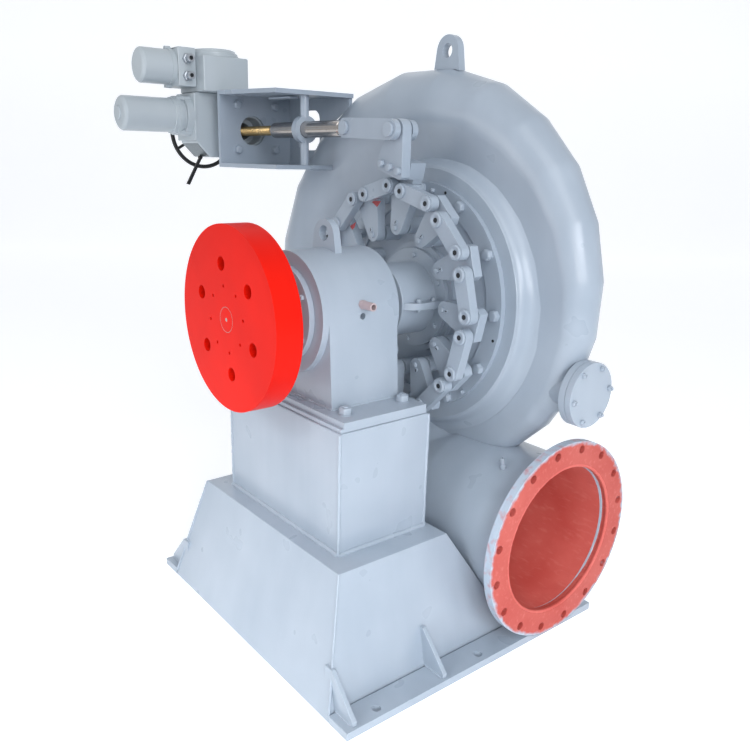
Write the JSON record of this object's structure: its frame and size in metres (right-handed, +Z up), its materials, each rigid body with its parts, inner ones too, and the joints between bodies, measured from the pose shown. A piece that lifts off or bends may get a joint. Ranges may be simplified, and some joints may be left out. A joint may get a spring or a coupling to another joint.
{
  "type": "horizontal francis turbine",
  "caption": "Horizontal Francis turbine on a pedestal, with flywheel, spiral case, chain of gate levers and electric gate actuator; no generator.",
  "frame": {"origin": "on the floor under the shaft, level with the front face of the head cover rim", "axes": "+X towards the inlet flange, +Y along the shaft away from the flywheel, +Z up"},
  "size_m": [1.553, 0.9844, 1.537],
  "materials": {
    "grey_paint": "gloss",
    "red_paint": "gloss",
    "red_primer": "matte",
    "bright_steel": "polished",
    "brass": "machined",
    "black_paint": "satin",
    "runner_steel": "cast and ground"
  },
  "bodies": {
    "frame": {"base_frame": "grey_paint", "pedestal": "grey_paint", "column": "grey_paint", "shim_plate": "grey_paint", "bearing_housing": "grey_paint", "oil_nipple": "bright_steel", "bearing_cover_front": "grey_paint", "spiral_case": "grey_paint", "stay_ring": "grey_paint", "inlet_flange": "red_primer", "hand_hole_neck": "grey_paint", "hand_hole_cover": "grey_paint", "case_eye": "grey_paint", "saddle_left": "grey_paint", "saddle_right": "grey_paint", "head_cover": "grey_paint", "seal_housing": "grey_paint", "rear_cover": "grey_paint", "guide_bush": "grey_paint", "bracket": "grey_paint", "gearbox": "grey_paint", "motor": "grey_paint", "control_housing": "grey_paint", "terminal_cover": "grey_paint", "control_lid": "grey_paint"},
    "rotor": {"flywheel": "red_paint", "shaft": "bright_steel", "runner": "runner_steel"},
    "drive_link": {"drive_plate_front": "grey_paint", "drive_plate_rear": "grey_paint"},
    "rod": {"push_rod": "bright_steel", "lead_screw": "brass"},
    "handwheel": {"handwheel": "black_paint"},
    "clutch_lever": {"clutch_lever": "black_paint"},
    "lever_01": {"gate_lever_01": "grey_paint"},
    "link_01": {"gate_link_01": "grey_paint"},
    "lever_02": {"gate_lever_02": "grey_paint", "drive_block": "grey_paint", "drive_arm": "grey_paint"},
    "link_02": {"gate_link_02": "grey_paint"},
    "lever_03": {"gate_lever_03": "grey_paint"},
    "link_03": {"gate_link_03": "grey_paint"},
    "lever_04": {"gate_lever_04": "grey_paint"},
    "link_04": {"gate_link_04": "grey_paint"},
    "lever_05": {"gate_lever_05": "grey_paint"},
    "link_05": {"gate_link_05": "grey_paint"},
    "lever_06": {"gate_lever_06": "grey_paint"},
    "link_06": {"gate_link_06": "grey_paint"},
    "lever_07": {"gate_lever_07": "grey_paint"},
    "link_07": {"gate_link_07": "grey_paint"},
    "lever_08": {"gate_lever_08": "grey_paint"},
    "link_08": {"gate_link_08": "grey_paint"},
    "lever_09": {"gate_lever_09": "grey_paint"},
    "link_09": {"gate_link_09": "grey_paint"},
    "lever_10": {"gate_lever_10": "grey_paint"},
    "link_10": {"gate_link_10": "grey_paint"},
    "lever_11": {"gate_lever_11": "grey_paint"},
    "link_11": {"gate_link_11": "grey_paint"},
    "lever_12": {"gate_lever_12": "grey_paint"},
    "link_12": {"gate_link_12": "grey_paint"}
  },
  "joints": [
    {"name": "rotor_turn", "type": "hinge", "parent": "frame", "child": "rotor", "pos_m": [0, 0, 0.857], "axis": [0, 1, 0], "continuous": true},
    {"name": "drive_link_pivot", "type": "hinge", "parent": "lever_02", "child": "drive_link", "pos_m": [0.04, -0.115, 1.29], "axis": [0, 1, 0], "range_deg": [-8.2, 8.2]},
    {"name": "rod_slide", "type": "slide", "parent": "frame", "child": "rod", "axis": [1, 0, 0], "range_m": [-0.0425, 0.0425]},
    {"name": "handwheel_turn", "type": "hinge", "parent": "frame", "child": "handwheel", "pos_m": [-1.03, -0.115, 1.297], "axis": [1, 0, 0], "continuous": true},
    {"name": "clutch_swing", "type": "hinge", "parent": "frame", "child": "clutch_lever", "pos_m": [-0.81, -0.238, 1.213], "axis": [1, 0, 0], "range_deg": [-20, 20]},
    {"name": "lever_01_turn", "type": "hinge", "parent": "frame", "child": "lever_01", "pos_m": [-0.09846, -0.07, 1.02416], "axis": [0, 1, 0], "range_deg": [-10.5, 10.5]},
    {"name": "link_01_turn", "type": "hinge", "parent": "lever_01", "child": "link_01", "pos_m": [-0.1535, -0.1025, 1.1124], "axis": [0, 1, 0], "range_deg": [-10.5, 10.5]},
    {"name": "lever_02_turn", "type": "hinge", "parent": "frame", "child": "lever_02", "pos_m": [-0.00169, -0.07, 1.05099], "axis": [0, 1, 0], "range_deg": [-10, 10]},
    {"name": "link_02_turn", "type": "hinge", "parent": "lever_02", "child": "link_02", "pos_m": [-0.00523, -0.1025, 1.15493], "axis": [0, 1, 0], "range_deg": [-10.5, 10.5]},
    {"name": "lever_03_turn", "type": "hinge", "parent": "frame", "child": "lever_03", "pos_m": [0.09553, -0.07, 1.02585], "axis": [0, 1, 0], "range_deg": [-10.5, 10.5]},
    {"name": "link_03_turn", "type": "hinge", "parent": "lever_03", "child": "link_03", "pos_m": [0.14444, -0.1025, 1.11763], "axis": [0, 1, 0], "range_deg": [-10.5, 10.5]},
    {"name": "lever_04_turn", "type": "hinge", "parent": "frame", "child": "lever_04", "pos_m": [0.16716, -0.07, 0.95546], "axis": [0, 1, 0], "range_deg": [-10.5, 10.5]},
    {"name": "link_04_turn", "type": "hinge", "parent": "lever_04", "child": "link_04", "pos_m": [0.2554, -0.1025, 1.0105], "axis": [0, 1, 0], "range_deg": [-10.5, 10.5]},
    {"name": "lever_05_turn", "type": "hinge", "parent": "frame", "child": "lever_05", "pos_m": [0.19399, -0.07, 0.85869], "axis": [0, 1, 0], "range_deg": [-10.5, 10.5]},
    {"name": "link_05_turn", "type": "hinge", "parent": "lever_05", "child": "link_05", "pos_m": [0.29793, -0.1025, 0.86223], "axis": [0, 1, 0], "range_deg": [-10.5, 10.5]},
    {"name": "lever_06_turn", "type": "hinge", "parent": "frame", "child": "lever_06", "pos_m": [0.16885, -0.07, 0.76147], "axis": [0, 1, 0], "range_deg": [-10.5, 10.5]},
    {"name": "link_06_turn", "type": "hinge", "parent": "lever_06", "child": "link_06", "pos_m": [0.26063, -0.1025, 0.71257], "axis": [0, 1, 0], "range_deg": [-10.5, 10.5]},
    {"name": "lever_07_turn", "type": "hinge", "parent": "frame", "child": "lever_07", "pos_m": [0.09846, -0.07, 0.68984], "axis": [0, 1, 0], "range_deg": [-10.5, 10.5]},
    {"name": "link_07_turn", "type": "hinge", "parent": "lever_07", "child": "link_07", "pos_m": [0.1535, -0.1025, 0.6016], "axis": [0, 1, 0], "range_deg": [-10.5, 10.5]},
    {"name": "lever_08_turn", "type": "hinge", "parent": "frame", "child": "lever_08", "pos_m": [0.00169, -0.07, 0.66301], "axis": [0, 1, 0], "range_deg": [-10.5, 10.5]},
    {"name": "link_08_turn", "type": "hinge", "parent": "lever_08", "child": "link_08", "pos_m": [0.00523, -0.1025, 0.55907], "axis": [0, 1, 0], "range_deg": [-10.5, 10.5]},
    {"name": "lever_09_turn", "type": "hinge", "parent": "frame", "child": "lever_09", "pos_m": [-0.09553, -0.07, 0.68815], "axis": [0, 1, 0], "range_deg": [-10.5, 10.5]},
    {"name": "link_09_turn", "type": "hinge", "parent": "lever_09", "child": "link_09", "pos_m": [-0.14444, -0.1025, 0.59637], "axis": [0, 1, 0], "range_deg": [-10.5, 10.5]},
    {"name": "lever_10_turn", "type": "hinge", "parent": "frame", "child": "lever_10", "pos_m": [-0.16716, -0.07, 0.75854], "axis": [0, 1, 0], "range_deg": [-10.5, 10.5]},
    {"name": "link_10_turn", "type": "hinge", "parent": "lever_10", "child": "link_10", "pos_m": [-0.2554, -0.1025, 0.7035], "axis": [0, 1, 0], "range_deg": [-10.5, 10.5]},
    {"name": "lever_11_turn", "type": "hinge", "parent": "frame", "child": "lever_11", "pos_m": [-0.19399, -0.07, 0.85531], "axis": [0, 1, 0], "range_deg": [-10.5, 10.5]},
    {"name": "link_11_turn", "type": "hinge", "parent": "lever_11", "child": "link_11", "pos_m": [-0.29793, -0.1025, 0.85177], "axis": [0, 1, 0], "range_deg": [-10.5, 10.5]},
    {"name": "lever_12_turn", "type": "hinge", "parent": "frame", "child": "lever_12", "pos_m": [-0.16885, -0.07, 0.95253], "axis": [0, 1, 0], "range_deg": [-10.5, 10.5]},
    {"name": "link_12_turn", "type": "hinge", "parent": "lever_12", "child": "link_12", "pos_m": [-0.26063, -0.1025, 1.00144], "axis": [0, 1, 0], "range_deg": [-10.5, 10.5]}
  ],
  "couplings": [
    {"joint": "rod_slide", "follows": "lever_02_turn", "m_per_rad": 0.24022},
    {"joint": "drive_link_pivot", "follows": "lever_02_turn", "ratio": -0.7725},
    {"joint": "lever_01_turn", "follows": "lever_02_turn", "ratio": 1},
    {"joint": "link_01_turn", "follows": "lever_02_turn", "ratio": -1},
    {"joint": "link_02_turn", "follows": "lever_02_turn", "ratio": -1},
    {"joint": "lever_03_turn", "follows": "lever_02_turn", "ratio": 1},
    {"joint": "link_03_turn", "follows": "lever_02_turn", "ratio": -1},
    {"joint": "lever_04_turn", "follows": "lever_02_turn", "ratio": 1},
    {"joint": "link_04_turn", "follows": "lever_02_turn", "ratio": -1},
    {"joint": "lever_05_turn", "follows": "lever_02_turn", "ratio": 1},
    {"joint": "link_05_turn", "follows": "lever_02_turn", "ratio": -1},
    {"joint": "lever_06_turn", "follows": "lever_02_turn", "ratio": 1},
    {"joint": "link_06_turn", "follows": "lever_02_turn", "ratio": -1},
    {"joint": "lever_07_turn", "follows": "lever_02_turn", "ratio": 1},
    {"joint": "link_07_turn", "follows": "lever_02_turn", "ratio": -1},
    {"joint": "lever_08_turn", "follows": "lever_02_turn", "ratio": 1},
    {"joint": "link_08_turn", "follows": "lever_02_turn", "ratio": -1},
    {"joint": "lever_09_turn", "follows": "lever_02_turn", "ratio": 1},
    {"joint": "link_09_turn", "follows": "lever_02_turn", "ratio": -1},
    {"joint": "lever_10_turn", "follows": "lever_02_turn", "ratio": 1},
    {"joint": "link_10_turn", "follows": "lever_02_turn", "ratio": -1},
    {"joint": "lever_11_turn", "follows": "lever_02_turn", "ratio": 1},
    {"joint": "link_11_turn", "follows": "lever_02_turn", "ratio": -1},
    {"joint": "lever_12_turn", "follows": "lever_02_turn", "ratio": 1},
    {"joint": "link_12_turn", "follows": "lever_02_turn", "ratio": -1}
  ]
}
